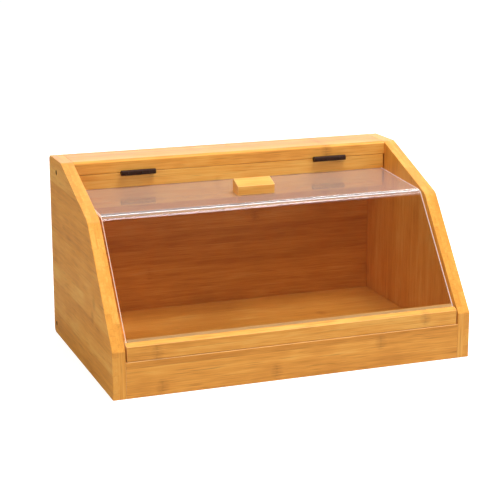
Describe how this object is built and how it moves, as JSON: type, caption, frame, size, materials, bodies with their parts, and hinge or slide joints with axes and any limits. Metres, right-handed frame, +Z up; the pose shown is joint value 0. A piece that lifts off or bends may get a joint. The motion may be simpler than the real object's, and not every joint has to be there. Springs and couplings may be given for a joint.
{
  "type": "bread box",
  "caption": "Bamboo countertop bread box with stepped side panels and a clear bent lid that lifts on butt hinges under the top rail.",
  "frame": {"origin": "on the ground under the middle of the footprint", "axes": "+X across the box to its right seen from the front, +Y from the front to the back, +Z up"},
  "size_m": [0.4, 0.25, 0.206],
  "materials": {
    "bamboo": "satin lacquered bamboo",
    "clear_acrylic": "clear polished sheet",
    "hinge_black": "satin black",
    "screw_steel": "dull steel",
    "dowel_wood": "plain beech"
  },
  "bodies": {
    "case": {"back_panel": "bamboo", "base_board": "bamboo", "front_board": "bamboo", "left_back_lower_dowel": "dowel_wood", "left_back_upper_dowel": "dowel_wood", "left_base_dowel": "dowel_wood", "left_base_screw": "screw_steel", "left_front_lower_dowel": "dowel_wood", "left_front_upper_dowel": "dowel_wood", "left_hinge_fixed_leaf": "hinge_black", "left_hinge_fixed_screw_1": "hinge_black", "left_hinge_fixed_screw_2": "hinge_black", "left_hinge_fixed_screw_3": "hinge_black", "left_hinge_pin": "hinge_black", "left_rail_screw": "screw_steel", "left_side_panel": "bamboo", "right_back_lower_dowel": "dowel_wood", "right_back_upper_dowel": "dowel_wood", "right_base_dowel": "dowel_wood", "right_base_screw": "screw_steel", "right_front_lower_dowel": "dowel_wood", "right_front_upper_dowel": "dowel_wood", "right_hinge_fixed_leaf": "hinge_black", "right_hinge_fixed_screw_1": "hinge_black", "right_hinge_fixed_screw_2": "hinge_black", "right_hinge_fixed_screw_3": "hinge_black", "right_hinge_pin": "hinge_black", "right_rail_screw": "screw_steel", "right_side_panel": "bamboo", "top_rail": "bamboo"},
    "lid": {"clear_cover": "clear_acrylic", "hinge_bar": "bamboo", "knob": "bamboo", "knob_screw_left": "screw_steel", "knob_screw_right": "screw_steel", "left_hinge_moving_leaf": "hinge_black", "left_hinge_moving_screw_1": "hinge_black", "left_hinge_moving_screw_2": "hinge_black", "left_hinge_moving_screw_3": "hinge_black", "lid_bottom_strip": "bamboo", "right_hinge_moving_leaf": "hinge_black", "right_hinge_moving_screw_1": "hinge_black", "right_hinge_moving_screw_2": "hinge_black", "right_hinge_moving_screw_3": "hinge_black"}
  },
  "joints": [
    {"name": "lid_hinge", "type": "hinge", "parent": "case", "child": "lid", "pos_m": [0, 0.0637, 0.19135], "axis": [-1, 0, 0], "range_deg": [0, 165]}
  ]
}
